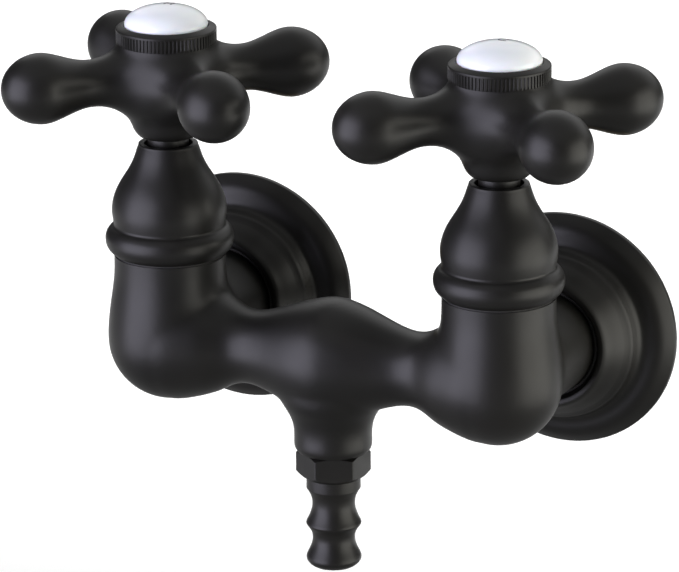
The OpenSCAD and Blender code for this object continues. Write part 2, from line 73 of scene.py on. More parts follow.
valve = {side: Vector((middle(f"{side}_bonnet").x, middle(f"{side}_bonnet").y, 0)) for side in SIDES}
inlet = {side: Vector((middle(f"{side}_wall_flange").x, 0, 0)) for side in SIDES}
centre = (valve["hot"] + valve["cold"]) / 2
half_centres = (valve["cold"].x - valve["hot"].x) / 2 / MM
arm_length = -centre.y / MM
print(f"valve axes {2 * half_centres:.1f} mm apart, {arm_length:.1f} mm in front of the wall")

# %% [markdown]
# Nearly every piece of a faucet is turned on a lathe or looks as if it was, so the first helper
# is a lathe. It takes half of a section as a line of (radius, height) points in millimetres and
# spins it. A corner of that line may carry a third number, the radius that rounds it off, since
# no polished or coated metal edge is truly sharp, and a rounded edge is what catches the light.

# %% Helpers: rounded corners and smooth sections
def outline(*corners, steps=5):
    """Corner points (r, h) or (r, h, rounding) made into a line with its corners rounded."""
    points = [Vector(corner[:2]) for corner in corners]
    line = []
    for i, corner in enumerate(corners):
        rounding = corner[2] if len(corner) > 2 else 0
        if not rounding:
            line.append(points[i])
            continue
        to_last = (points[i - 1] - points[i]).normalized()
        to_next = (points[(i + 1) % len(points)] - points[i]).normalized()
        cut = rounding / math.tan(to_last.angle(to_next) / 2)
        for k in range(steps + 1):
            t = k / steps
            line.append(points[i] + to_last * cut * (1 - t) ** 2 + to_next * cut * t ** 2)
    return line


def batten(*knots, spacing=0.7):
    """A smooth line through the knots, bent as a springy strip of wood bends round pins."""
    p = np.array(knots, float)
    h = np.linalg.norm(np.diff(p, axis=0), axis=1)
    n = len(p)
    rows, bends = np.eye(n), np.zeros((n, 2))
    for i in range(1, n - 1):
        rows[i, i - 1:i + 2] = h[i - 1], 2 * (h[i - 1] + h[i]), h[i]
        bends[i] = 6 * ((p[i + 1] - p[i]) / h[i] - (p[i] - p[i - 1]) / h[i - 1])
    m = np.linalg.solve(rows, bends)
    line = [Vector(p[0])]
    for i in range(n - 1):
        steps = max(2, round(h[i] / spacing))
        for k in range(1, steps + 1):
            t, s = h[i] * k / steps, h[i] * (1 - k / steps)
            line.append(Vector(
                (m[i] * s ** 3 + m[i + 1] * t ** 3) / (6 * h[i])
                + (p[i] / h[i] - m[i] * h[i] / 6) * s
                + (p[i + 1] / h[i] - m[i + 1] * h[i] / 6) * t))
    return line


# %% [markdown]
# Spinning is one operator. The line becomes a chain of edges, spin carries it once round and
# merges the seam, and merging doubles closes the poles where the line meets the axis. The faces
# are then turned to point outwards, and every edge sharper than about 30 degrees stays crisp.

# %% Helper: the lathe
AXES = {
    "up": Matrix.Identity(4),
    "right": Matrix.Rotation(math.radians(90), 4, "Y"),
    "forward": Matrix.Rotation(math.radians(90), 4, "X"),
}


def turned(line, axis="up", at=(0, 0, 0), steps=96, loop=False):
    """A bmesh of a section spun round the vertical, in metres, then laid along its axis."""
    bm = bmesh.new()
    chain = [bm.verts.new((p[0] * MM, 0, p[1] * MM)) for p in line]
    edges = [bm.edges.new(pair) for pair in zip(chain, chain[1:])]
    if loop:
        edges.append(bm.edges.new((chain[-1], chain[0])))
    bmesh.ops.spin(bm, geom=chain + edges, cent=(0, 0, 0), axis=(0, 0, 1), angle=math.tau,
                   steps=steps, use_merge=True)
    bmesh.ops.remove_doubles(bm, verts=bm.verts, dist=1e-6)
    bmesh.ops.recalc_face_normals(bm, faces=bm.faces)
    bmesh.ops.transform(bm, matrix=Matrix.Translation(at) @ AXES[axis], verts=bm.verts)
    return bm


def shade(bm, crease=30):
    for face in bm.faces:
        face.smooth = True
    for edge in bm.edges:
        edge.smooth = edge.calc_face_angle(0) < math.radians(crease)


def piece(name, bm, crease=30):
    """Turns a bmesh into an object, with smooth shading."""
    shade(bm, crease)
    mesh = bpy.data.meshes.new(name)
    bm.to_mesh(mesh)
    bm.free()
    made = bpy.data.objects.new(name, mesh)
    bpy.context.scene.collection.objects.link(made)
    return made


def moved(bm, offset):
    """A copy of a bmesh, shifted."""
    copy = bm.copy()
    bmesh.ops.translate(copy, vec=offset, verts=copy.verts)
    return copy


def finished(made, node, body, material):
    """Says which node a piece stands for, what it rides on and how it is finished."""
    made.data.materials.clear()
    made.data.materials.append(material)
    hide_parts(node)
    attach(made, body)
    triangles = sum(len(face.vertices) - 2 for face in made.data.polygons)
    print(f"{made.name}: {triangles} triangles, stands for {node}")
    return made


# %% [markdown]
# ## The finishes
# The dark coat is a satin, near-black bronze. It could be a metal shader, but such a coat is
# closer to a lacquer: nearly black below, with a soft shine on top. It is thin, so the casting's
# fine grain shows through as a faint bump, and neither its brown nor its shine is quite even.
# The colour, the shine and the bump each come from noise in Object coordinates, at three sizes.
# All numbers that are the same everywhere are set on the shader itself.

# %% Helper: a material and its nodes
def new_material(name, **settings):
    material = bpy.data.materials.new(name)
    material.use_nodes = True
    nodes = material.node_tree.nodes
    shader = nodes["Principled BSDF"]
    for socket, value in settings.items():
        shader.inputs[socket.replace("_", " ")].default_value = value
    return material, nodes, material.node_tree.links, shader


def noise(nodes, links, scale, detail=3.0, roughness=0.5):
    """Noise in Object coordinates, so that it stays put on the piece."""
    place = nodes.get("Place") or nodes.new("ShaderNodeTexCoord")
    place.name = "Place"
    texture = nodes.new("ShaderNodeTexNoise")
    texture.inputs["Scale"].default_value = scale
    texture.inputs["Detail"].default_value = detail
    texture.inputs["Roughness"].default_value = roughness
    links.new(place.outputs["Object"], texture.inputs["Vector"])
    return texture.outputs["Fac"]


def ramp(nodes, links, value, low, high, start=0.35, end=0.65):
    """Maps a value to a run of colours from low to high."""
    made = nodes.new("ShaderNodeValToRGB")
    made.color_ramp.elements[0].position = start
    made.color_ramp.elements[1].position = end
    made.color_ramp.elements[0].color = (*low, 1)
    made.color_ramp.elements[1].color = (*high, 1)
    links.new(value, made.inputs["Fac"])
    return made.outputs["Color"]


def spread(nodes, links, value, low, high):
    """Maps 0..1 to low..high."""
    made = nodes.new("ShaderNodeMapRange")
    made.inputs["To Min"].default_value = low
    made.inputs["To Max"].default_value = high
    links.new(value, made.inputs["Value"])
    return made.outputs["Result"]


def bump(nodes, links, shader, height, strength, depth):
    """Lets a value stand for the height of the surface, depth metres from low to high."""
    made = nodes.new("ShaderNodeBump")
    made.inputs["Strength"].default_value = strength
    made.inputs["Distance"].default_value = depth
    links.new(height, made.inputs["Height"])
    links.new(made.outputs["Normal"], shader.inputs["Normal"])


# %% The dark coat
def dark_coat():
    material, nodes, links, shader = new_material("satin_dark_bronze", Metallic=0.0, IOR=1.38)
    cloudy = noise(nodes, links, 45, detail=4)
    links.new(ramp(nodes, links, cloudy, (0.0048, 0.0046, 0.0040), (0.0080, 0.0075, 0.0064)),
              shader.inputs["Base Color"])
    links.new(spread(nodes, links, noise(nodes, links, 160, detail=2), 0.38, 0.46),
              shader.inputs["Roughness"])
    bump(nodes, links, shader, noise(nodes, links, 2600, detail=2, roughness=0.6), 0.10, 0.00004)
    return material


coat = dark_coat()
print("finish:", coat.name)

# %% [markdown]
# ## The bonnets
# A bonnet is the bell that hides the valve's cartridge. It has a bead round its foot, a small
# tight hollow above the bead, the swell of the bell and a concave neck up to a thin rim. One
# curve through all of that would blur the hollow, so the section has a batten for the bead, a
# rounded corner for the hollow and a second batten for the swell and the neck. The inside is
# turned too, since the rim is open.

# %% Bonnets
low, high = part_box("hot_bonnet")
foot_z, rim_z = low.z / MM, high.z / MM
bead_r = (high.x - low.x) / 2 / MM
bead_top_r, bead_top_z = bead_r - 1.25, foot_z + 6.35
bell_r = bead_r - 1.65
bell_foot_r, bell_foot_z = bell_r - 0.35, foot_z + 7.6
neck_z, lip_z = rim_z - 5, rim_z - 0.45
rim_r = bead_r - 8.25
rim_hole_r = rim_r - 1.45


def bonnet_section():
    bead = batten((bead_r - 1.95, foot_z), (bead_r - 0.75, foot_z + 1.15), (bead_r, foot_z + 3.4),
                  (bead_r - 0.35, foot_z + 5.2), (bead_top_r, bead_top_z), spacing=0.35)
    hollow = outline((bead_top_r, bead_top_z), (bell_r - 0.5, foot_z + 6.85, 0.8),
                     (bell_foot_r, bell_foot_z), steps=6)
    bell = batten((bell_foot_r, bell_foot_z), (bell_r, foot_z + 10.6),
                  (bell_r - 0.55, foot_z + 13.9), (bell_r - 2.0, foot_z + 17.1),
                  (bell_r - 3.95, foot_z + 20.2), (rim_r + 1.0, foot_z + 23.6),
                  (rim_r + 0.2, foot_z + 26.0), (rim_r, lip_z))
    lip = outline((rim_r, lip_z), (rim_r - 0.05, rim_z, 0.3), (rim_hole_r, rim_z, 0.35),
                  (rim_hole_r, neck_z), steps=4)
    inside = outline((rim_hole_r, neck_z), (bead_r - 4.4, foot_z + 13),
                     (bead_r - 3.9, foot_z + 9), (bead_r - 3.9, foot_z))
    return bead + hollow[1:-1] + bell + lip[1:] + inside[1:]


bonnet = turned(bonnet_section(), steps=128, loop=True)
for side in SIDES:
    finished(piece(f"{side}_bell_bonnet", moved(bonnet, valve[side])),
             f"{side}_bonnet", "faucet_body", coat)

# %% [markdown]
# ## The wall flanges
# A flange is a stepped escutcheon pressed from sheet: a rolled outer edge with a convex rim, a
# shallow channel, a steep step with a rounded shoulder and then a crown that turns in round the
# inlet arm. A press leaves soft corners and long curves, so the section takes turns between
# rounded corners and battens. It is spun as before, with heights measured out from the wall.

# %% Wall flanges
low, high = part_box("hot_wall_flange")
flange_r = (high.x - low.x) / 2 / MM
flange_top = -low.y / MM
flange_back = -high.y / MM
flange_hole_r = 13.5
step_r = 20.3
rim_end = (flange_r - 1.1, flange_back + 2.6)
step_foot, step_head = (step_r + 0.5, flange_back + 6.5), (step_r - 1.2, flange_back + 9.8)
crown_end = (flange_hole_r, flange_top - 1.9)


def flange_section():
    edge = outline((flange_r - 0.5, flange_back), (flange_r, flange_back, 0.3),
                   (flange_r, flange_back + 1.4, 0.7), rim_end, steps=4)
    channel = batten(rim_end, (flange_r - 2.7, flange_back + 4.0),
                     (flange_r - 4.2, flange_back + 4.6), (flange_r - 6.0, flange_back + 4.9),
                     (step_r + 1.2, flange_back + 5.4), step_foot, spacing=0.4)
    step = outline(step_foot, (step_r + 0.1, flange_back + 8.5, 2.2), step_head, steps=6)
    crown = batten(step_head, (step_r - 2.5, flange_back + 11.9),
                   (step_r - 3.8, flange_back + 13.7), (flange_hole_r + 1.9, flange_top - 0.3),
                   (flange_hole_r + 0.8, flange_top - 0.4), crown_end, spacing=0.5)
    inside = outline(crown_end, (flange_hole_r, flange_top - 2.5),
                     (flange_hole_r + 2.2, flange_top - 2.6), (step_r - 2.4, flange_back + 7),
                     (step_r - 0.8, flange_back + 4), (flange_r - 4, flange_back + 1.6),
                     (flange_r - 0.5, flange_back))
    return edge + channel[1:] + step[1:] + crown[1:] + inside[1:-1]


flange = turned(flange_section(), axis="forward", steps=160, loop=True)
for side in SIDES:
    finished(piece(f"{side}_stepped_flange", moved(flange, inlet[side]), crease=24),
             f"{side}_wall_flange", "faucet_body", coat)

# %% [markdown]
# ## The bridge casting
# One casting carries both valves: two rounded bulbs, an arm from each to the wall, the bridge
# with its hump, and the outlet boss. A foundry pattern maker turns these shapes apart and fills
# every corner with wax. The same works here. The turned shapes are put together, a voxel remesh
# makes one skin of them, and smoothing only the corners lets the skin flow as the wax would.

# %% Helper: applying modifiers
def applied(made):
    """The object with its modifiers applied, under the same name."""
    graph = bpy.context.evaluated_depsgraph_get()
    mesh = bpy.data.meshes.new_from_object(made.evaluated_get(graph), depsgraph=graph)
    name = made.name
    bpy.data.objects.remove(made)
    fresh = bpy.data.objects.new(name, mesh)
    bpy.context.scene.collection.objects.link(fresh)
    bpy.context.view_layer.update()
    return fresh


# %% Helper: one skin over several turned shapes
def together(bm, extra):
    """Adds the faces of one bmesh to another."""
    mesh = bpy.data.meshes.new("extra")
    extra.to_mesh(mesh)
    extra.free()
    bm.from_mesh(mesh)
    bpy.data.meshes.remove(mesh)


def one_skin(name, shapes, voxel, passes, weight, polish=3):
    """Joins closed shapes into one skin, then softens it by as much as weight(point) says."""
    both = bmesh.new()
    for shape in shapes:
        together(both, shape)
    rough = piece(name, both)
    skin = rough.modifiers.new("skin", "REMESH")
    skin.mode = "VOXEL"
    skin.voxel_size = voxel
    skin.use_smooth_shade = True
    baked = applied(rough)
    group = baked.vertex_groups.new(name="corners")
    for vertex in baked.data.vertices:
        amount = weight(vertex.co)
        if amount > 0:
            group.add([vertex.index], min(1.0, amount), "REPLACE")
    wax = baked.modifiers.new("wax", "SMOOTH")
    wax.factor = 0.5
    wax.iterations = passes
    wax.vertex_group = "corners"
    rub = baked.modifiers.new("rub", "SMOOTH")
    rub.factor = 0.5
    rub.iterations = polish
    done = applied(baked)
    done.vertex_groups.clear()
    bm = bmesh.new()
    bm.from_mesh(done.data)
    bpy.data.objects.remove(done)
    return bm


# %% Helpers: where the wax goes
def ease(value):
    return max(0.0, min(1.0, value))


def near(point, target, reach, soft):
    """1 within reach of the target, falling to 0 over the soft distance, all in metres."""
    return ease((reach + soft - (point - target).length) / soft)


# %% Shapes of the casting
low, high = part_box("body_casting")
bulb_r = (high.x - low.x) / 2 / MM - half_centres
shoulder_z = foot_z - 0.5
axis_z, boss_low = -1.2, -24.2
hump_r, waist_r, waist_x = 14.5, 8.9, 21.6
arm_r, arm_gap, boss_r = 12.6, 1.0, 9.35
spare_h = 6  # how far the bulbs run on above the cut


def bulb():
    """A valve body: a ball below, and a side that draws in a little towards the bonnet."""
    ball = [(bulb_r * math.sin(a), axis_z - bulb_r * math.cos(a))
            for a in (math.radians(12 * k) for k in range(0, 8))]
    side = [(bulb_r, axis_z), (bulb_r - 0.3, 4.0), (bulb_r - 1.0, 9.2), (bulb_r - 1.65, 14.0),
            (13.4, 17.5), (13.4, 21.0), (13.4, shoulder_z + spare_h)]
    return batten(*ball, *side) + [Vector((0, shoulder_z + spare_h))]


def bridge():
    """The hump, a waist on each side of it and the swell into each bulb, end to end."""
    half = [(hump_r, 0), (13.85, 4.2), (12.45, 8.8), (10.85, 13.2), (9.55, 17.6),
            (waist_r, waist_x), (9.7, 25.0), (11.9, 28.9), (13.7, 33.6), (14.3, half_centres)]
    mirrored = [(r, -x) for r, x in half[:0:-1]]
    end_r, end_x = 8.2, half_centres + 2
    side = batten((end_r, -end_x), *mirrored, *half, (end_r, end_x))
    return [Vector((0, -end_x))] + side + [Vector((0, end_x))]


def boss():
    """The outlet: a cylinder with a rounded lower lip that flares into the hump."""
    side = batten(
        (boss_r - 1.3, boss_low - 3), (boss_r - 1.0, boss_low - 0.1),
        (boss_r - 0.25, boss_low + 0.6), (boss_r, boss_low + 1.8), (boss_r, -19.5),
        (boss_r + 0.3, -17.0), (boss_r + 1.5, -14.3), (boss_r + 3.0, -11.8), (boss_r + 3.4, -6))
    return [Vector((0, boss_low - 3))] + side + [Vector((0, -4))]


# %% Where the casting's wax goes
def casting_weight(point):
    """Soft at the bridge's ends, the arms' roots and the outlet's flare, and firm elsewhere."""
    soft = 5 * MM
    p = point - centre
    if p.z < (boss_low + 3) * MM:
        return 0
    p.x = abs(p.x)
    bridge_end = Vector((half_centres - 14.5, 0, axis_z)) * MM
    arm_root = Vector((half_centres, 10.5, axis_z)) * MM
    flare = Vector((0, 0, -13.5)) * MM
    return max(near(p, bridge_end, 14.5 * MM, soft), near(p, arm_root, 13.5 * MM, soft),
               near(p, flare, 10 * MM, soft))


# %% Helper: a square cut
def cut_square(bm, point, outward, rounding=0.0):
    """Cuts off what lies outward of the plane, caps the cut and rounds its edge."""
    cut = bmesh.ops.bisect_plane(bm, geom=bm.verts[:] + bm.edges[:] + bm.faces[:], dist=1e-7,
                                 plane_co=point, plane_no=outward, clear_outer=True)
    rim = [e for e in cut["geom_cut"] if isinstance(e, bmesh.types.BMEdge)]
    caps = bmesh.ops.holes_fill(bm, edges=rim, sides=0)["faces"]
    if rounding:
        edges = list({e for face in caps for e in face.edges})
        bmesh.ops.bevel(bm, geom=edges, offset=rounding, segments=3, profile=0.5,
                        affect="EDGES", material=-1)


# %% The casting, cut off square where other pieces meet it
shapes = [turned(bridge(), axis="right", at=centre + Vector((0, 0, axis_z * MM))),
          turned(boss(), at=centre)]
for side in SIDES:
    shapes.append(turned(bulb(), at=valve[side]))
    shapes.append(turned([(0, -4), (arm_r, -4), (arm_r, arm_length), (0, arm_length)],
                         axis="forward", at=inlet[side]))
casting = one_skin("casting", shapes, voxel=0.5 * MM, passes=130, weight=casting_weight, polish=10)
cut_square(casting, (0, 0, shoulder_z * MM), (0, 0, 1))
cut_square(casting, (0, 0, boss_low * MM), (0, 0, -1))
cut_square(casting, (0, -arm_gap * MM, 0), (0, 1, 0))
finished(piece("bridge_casting", casting, crease=40),
         "body_casting", "faucet_body", coat)

# %% [markdown]
# ## The cross handles
# A handle is one casting: a hub that tapers to its foot, and four arms that swell into
# pear-shaped ends. The arms must melt into the hub, so they get the same treatment as the
# bridge: turned, joined under one skin and softened where they meet. The collar that enters the
# bonnet is machined, with crisp edges, so it is turned apart and only added at the end.

# %% Cross handles
low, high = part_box("hot_handle")
collar_h, collar_r, collar_hole_r = 2.4, 4.9, 3.6
hub_low, hub_top = low.z / MM + collar_h, high.z / MM
hub_h = hub_top - hub_low
arm_z = hub_low + 14.8
reach = 41.0
knob_r, knob_x = 8.45, reach - 9.7
ARMS, closed_angle = 4, 47.0
edge_r = 0.15


def hub():
    """The hub's section, left solid and a little too tall, to be cut off square later."""
    side = batten((6.5, 0), (7.5, 0.9), (8.5, 2.7), (9.5, 5.6), (10.2, 9), (10.4, 13),
                  (10.7, 18), (11.3, hub_h - 0.6), (11.4, hub_h + 3), spacing=0.6)
    return [Vector((p[0], p[1] + hub_low)) for p in [(0, 0)] + side + [(0, hub_h + 3)]]


def handle_arm():
    """An arm's section from the hub's axis out: root, waist, swell and a rounded knob."""
    root = [(11.0, 8.4), (8.9, 10.6), (7.25, 12.9), (6.15, 15.6), (5.65, 18.6)]
    swell = [(5.8, 21.2), (6.5, 24), (7.5, 27), (knob_r, knob_x)]
    knob = [(knob_r * math.cos(a), knob_x + (reach - knob_x) * math.sin(a))
            for a in (math.radians(3 * k) for k in range(1, 31))]
    knob[-1] = (0, reach)
    shaft = batten(*root, *swell, *knob[4:12:4], spacing=0.5)
    shaft = [p for p in shaft if p.y <= knob_x]
    return [Vector((0, 0)), Vector((11.0, 0))] + shaft + [Vector(p) for p in knob]


# %% Where the handle's wax goes
def handle_weight(point):
    """Soft in a belt round the hub, where the arms leave it, and firm past the belt's edges."""
    out = math.hypot(point.x, point.y) / MM
    height = point.z / MM
    belt = ease((out - 7) / 2) * ease((19 - out) / 4)
    return belt * ease((height - hub_low - 2) / 3) * ease((hub_top + 3 - height) / 2)


# %% The handles, cut off square at the hub's two ends
shapes = [turned(hub())]
for k in range(ARMS):
    arm = turned(handle_arm(), axis="right", at=(0, 0, arm_z * MM), steps=64)
    bmesh.ops.rotate(arm, cent=(0, 0, 0), verts=arm.verts,
                     matrix=Matrix.Rotation(math.radians(closed_angle + 360 / ARMS * k), 3, "Z"))
    shapes.append(arm)
handle = one_skin("handle", shapes, voxel=0.36 * MM, passes=150, weight=handle_weight)
cut_square(handle, (0, 0, hub_top * MM), (0, 0, 1), rounding=edge_r * MM)
cut_square(handle, (0, 0, (hub_low + edge_r) * MM), (0, 0, -1), rounding=edge_r * MM)
collar = turned(outline((collar_hole_r, hub_low - collar_h), (collar_r, hub_low - collar_h, 0.25),
                        (collar_r, hub_low + 0.6), (collar_hole_r, hub_low + 0.6)), loop=True)
together(handle, collar)
for side in SIDES:
    finished(piece(f"{side}_cross_handle", moved(handle, valve[side]), crease=50),
             f"{side}_handle", f"{side}_tap", coat)

# %% [markdown]
# ## The knurled rings
# The ring that holds the porcelain button screws down by hand, so its side is knurled: 80
# straight ribs between a small lower chamfer and a smooth band below the upper one. A bump in
# the material would leave the edge of the ring smooth, so the ribs are real. The section is
# spun in four steps to a rib, and every second pair of points on the ribbed band is pushed in.

# %% Knurled index rings
low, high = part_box("hot_index_ring")
ring_r = (high.x - low.x) / 2 / MM
ring_low, ring_top = hub_top - 0.4, high.z / MM - 0.5
chamfer_z = ring_top - 0.75
rib_low, rib_top = ring_low + 0.25, chamfer_z - 0.6
lip_r, hub_seat_r = 10.0, ring_r - 0.55
hub_seat_z, button_seat_z = hub_top + 0.05, hub_top + 1.1
RIBS, STEPS_PER_RIB, rib_depth = 80, 4, 0.27


def ring_section():
    band = [Vector((ring_r, rib_low + (rib_top - rib_low) * k / 4)) for k in range(5)]
    low_edge = outline((0, hub_seat_z), (hub_seat_r, hub_seat_z), (hub_seat_r, ring_low),
                       (ring_r - 0.3, ring_low, 0.1), (ring_r, rib_low), steps=3)
    high_edge = outline((ring_r, rib_top), (ring_r, rib_top + 0.08), (ring_r, chamfer_z, 0.35),
                        (lip_r + 0.4, ring_top, 0.12), (lip_r, ring_top - 0.25, 0.1),
                        (lip_r, button_seat_z), (0, button_seat_z), steps=3)
    return low_edge[:-1] + band + high_edge[1:]


knurled = turned(ring_section(), steps=RIBS * STEPS_PER_RIB)
squeeze = 1 - rib_depth / ring_r
for vertex in knurled.verts:
    out = math.hypot(vertex.co.x, vertex.co.y)
    if abs(out - ring_r * MM) < 1e-6 and vertex.co.z < (rib_top + 0.01) * MM:
        step = math.atan2(vertex.co.y, vertex.co.x) / math.tau * RIBS * STEPS_PER_RIB
        if round(step) % STEPS_PER_RIB in (1, 2):
            bmesh.ops.scale(knurled, vec=(squeeze, squeeze, 1), verts=[vertex])
for side in SIDES:
    finished(piece(f"{side}_knurled_ring", moved(knurled, valve[side]), crease=35),
             f"{side}_index_ring", f"{side}_tap", coat)

# %% [markdown]
# ## The porcelain buttons
# A button is a glazed dome, flatter on top and rounder at its edge, so its section is a quarter
# of an ellipse and not of a circle. The glaze is white with a breath of blue, and very smooth.
# A fired letter, H or C, lies just past the middle of the dome. An image would need a texture,
# so it is plain type, made a mesh, given a little thickness and bent onto the glaze.

# %% Porcelain
def porcelain():
    material, nodes, links, shader = new_material(
        "white_glaze", Roughness=0.16, IOR=1.48, Coat_Weight=0.25, Coat_Roughness=0.05,
        Subsurface_Weight=0.12, Subsurface_Scale=0.002)
    tone = noise(nodes, links, 90, detail=2)
    links.new(ramp(nodes, links, tone, (0.86, 0.90, 0.94), (0.89, 0.93, 0.965)),
              shader.inputs["Base Color"])
    bump(nodes, links, shader, noise(nodes, links, 260, detail=1), 0.04, 0.0002)
    return material


def fired_ink():
    material, nodes, links, shader = new_material("fired_letter", Roughness=0.25, IOR=1.5)
    tone = noise(nodes, links, 900, detail=2)
    links.new(ramp(nodes, links, tone, (0.05, 0.055, 0.06), (0.09, 0.095, 0.10)),
              shader.inputs["Base Color"])
    return material


glaze, ink = porcelain(), fired_ink()

# %% Buttons and their letters
low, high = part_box("hot_index_button")
button_r = (high.x - low.x) / 2 / MM
button_low, button_top = low.z / MM, high.z / MM
dome_h = 4.5
dome_z = button_top - dome_h
letter_h, letter_out, letter_t = 3.6, 1.7, 0.1


def dome_height(out):
    """The glaze's height at a distance from the button's axis, in millimetres."""
    return dome_z + dome_h * math.sqrt(max(0.0, 1 - (out / button_r) ** 2))


def button_section():
    dome = [Vector((button_r * math.cos(a), dome_z + dome_h * math.sin(a)))
            for a in (math.radians(3 * k) for k in range(31))]
    dome[-1].x = 0
    return outline((0, button_low), (button_r, button_low, 0.3), (button_r, dome_z))[:-1] + dome


# %% A letter on the glaze: its upper skin stands just proud, its lower one is buried
def letter(side, character):
    words = bpy.data.curves.new(f"{side}_letter", "FONT")
    words.body = character
    words.align_x = words.align_y = "CENTER"
    words.size = letter_h * MM
    text = bpy.data.objects.new(f"{side}_letter", words)
    bpy.context.scene.collection.objects.link(text)
    bpy.context.view_layer.update()
    made = applied(text)
    bm = bmesh.new()
    bm.from_mesh(made.data)
    bpy.data.objects.remove(made)
    bmesh.ops.subdivide_edges(bm, edges=bm.edges, cuts=3, use_grid_fill=True)
    bmesh.ops.triangulate(bm, faces=bm.faces)
    bmesh.ops.solidify(bm, geom=bm.faces, thickness=letter_t * MM)
    bmesh.ops.translate(bm, vec=(0, letter_out * MM, 0), verts=bm.verts)
    half_way = max(vertex.co.z for vertex in bm.verts) - letter_t / 2 * MM
    for vertex in bm.verts:
        lift = 0.04 if vertex.co.z > half_way else -0.06
        vertex.co.z = (dome_height(math.hypot(vertex.co.x, vertex.co.y) / MM) + lift) * MM
    bmesh.ops.recalc_face_normals(bm, faces=bm.faces)
    bmesh.ops.translate(bm, vec=valve[side], verts=bm.verts)
    made = piece(f"{side}_letter", bm)
    made.data.materials.append(ink)
    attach(made, f"{side}_tap")
    print(f"{made.name}: {len(made.data.polygons)} faces, {letter_out} mm behind the middle")


# %% Both buttons
button = turned(button_section(), steps=128)
for side, character in zip(SIDES, "HC"):
    finished(piece(f"{side}_porcelain_button", moved(button, valve[side]), crease=40),
             f"{side}_index_button", f"{side}_tap", glaze)
    letter(side, character)

# %% [markdown]
# ## The hose nozzle
# The nozzle has a hexagon for the spanner, a short neck and a tail with two soft barbs. The
# tail is turned. The hexagon is a six-sided prism whose corners are turned off at both ends, as
# on every real nut: it is what a prism and a turned cone have in common, so a Boolean makes it.

# %% Hose nozzle
low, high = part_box("hose_nozzle")
nozzle_low = low.z / MM
mouth_z, neck_foot_z = nozzle_low + 0.4, nozzle_low + 19.4
hex_top = boss_low - 0.1
hex_low = hex_top - 6.8
hex_flat, hex_angle = 7.8, 56
hex_corner = hex_flat / math.cos(math.pi / 6)
neck_r, bore_r = 6.5, 3.5


def nozzle_section():
    tail = batten((5.5, nozzle_low + 0.7), (6.25, nozzle_low + 1.4), (6.6, nozzle_low + 2.4),
                  (6.3, nozzle_low + 3.4), (5.6, nozzle_low + 4.9), (5.1, nozzle_low + 6.8),
                  (5.15, nozzle_low + 8.2), (5.75, nozzle_low + 9.7), (6.4, nozzle_low + 10.6),
                  (6.62, nozzle_low + 11.1), (6.4, nozzle_low + 11.7), (5.75, nozzle_low + 13.1),
                  (5.2, nozzle_low + 15.0), (5.15, nozzle_low + 16.6), (5.5, nozzle_low + 18.2),
                  (6.1, neck_foot_z), spacing=0.3)
    neck = outline((6.1, neck_foot_z), (neck_r, nozzle_low + 20.0, 0.3),
                   (neck_r, hex_low + 1, 0.01), steps=4)
    thread = outline((neck_r, hex_low + 1), (neck_r, hex_top + 4), (bore_r, hex_top + 4),
                     (bore_r, mouth_z, 0.4), (5.0, mouth_z, 0.3), (5.5, nozzle_low + 0.7), steps=4)
    return tail + neck[1:-1] + thread[1:-1]


# %% The hexagon: what a bevelled prism and a turned cone have in common
def hexagon():
    prism = bmesh.new()
    bmesh.ops.create_cone(prism, cap_ends=True, segments=6, radius1=hex_corner * MM,
                          radius2=hex_corner * MM, depth=(hex_top - hex_low) * MM)
    bmesh.ops.translate(prism, vec=(0, 0, (hex_top + hex_low) / 2 * MM), verts=prism.verts)
    bmesh.ops.rotate(prism, cent=(0, 0, 0), verts=prism.verts,
                     matrix=Matrix.Rotation(math.radians(hex_angle), 3, "Z"))
    upright = [e for e in prism.edges if abs(e.verts[0].co.z - e.verts[1].co.z) > MM]
    bmesh.ops.bevel(prism, geom=upright, offset=0.18 * MM, segments=3, profile=0.5,
                    affect="EDGES", material=-1)
    cone = turned([(0, hex_low), (hex_flat - 1.4, hex_low), (hex_corner + 0.3, hex_low + 2.0),
                   (hex_corner + 0.3, hex_top - 0.8), (hex_flat - 0.1, hex_top), (0, hex_top)])
    return prism, cone


prism, cone = hexagon()
body, tool = piece("hexagon", prism), piece("cone", cone)
common = body.modifiers.new("common", "BOOLEAN")
common.operation = "INTERSECT"
common.solver = "EXACT"
common.object = tool
spanner = applied(body)
bpy.data.objects.remove(tool)

# %% The nozzle put together
nozzle = turned(nozzle_section(), loop=True)
nozzle.from_mesh(spanner.data)
bpy.data.objects.remove(spanner)
bmesh.ops.translate(nozzle, vec=centre, verts=nozzle.verts)
finished(piece("barbed_nozzle", nozzle, crease=24),
         "hose_nozzle", "faucet_body", coat)

# %% [markdown]
# ## The parts behind the wall and inside the valves
# The brass, steel, rubber and ceramic parts keep the frame's own shapes, since those are plain
# turned shapes already. They only need their finishes: machined brass has a little tarnish and
# an uneven shine, rubber is dull and faintly mottled, and steel and ceramic are nearly plain.
# One function makes them all, since they differ only in colour, shine and the size of the noise.

# %% Finishes of the hidden parts
def machined(name, low, high, metallic=1.0, shine=(0.26, 0.40), scale=70):
    """A plain worked surface: its colour runs from low to high, its roughness over shine."""
    material, nodes, links, shader = new_material(name, Metallic=metallic)
    tone = noise(nodes, links, scale, detail=4)
    links.new(ramp(nodes, links, tone, low, high), shader.inputs["Base Color"])
    links.new(spread(nodes, links, noise(nodes, links, scale * 4), *shine), shader.inputs["Roughness"])
    bump(nodes, links, shader, noise(nodes, links, 3000, detail=1), 0.08, 0.00003)
    return material


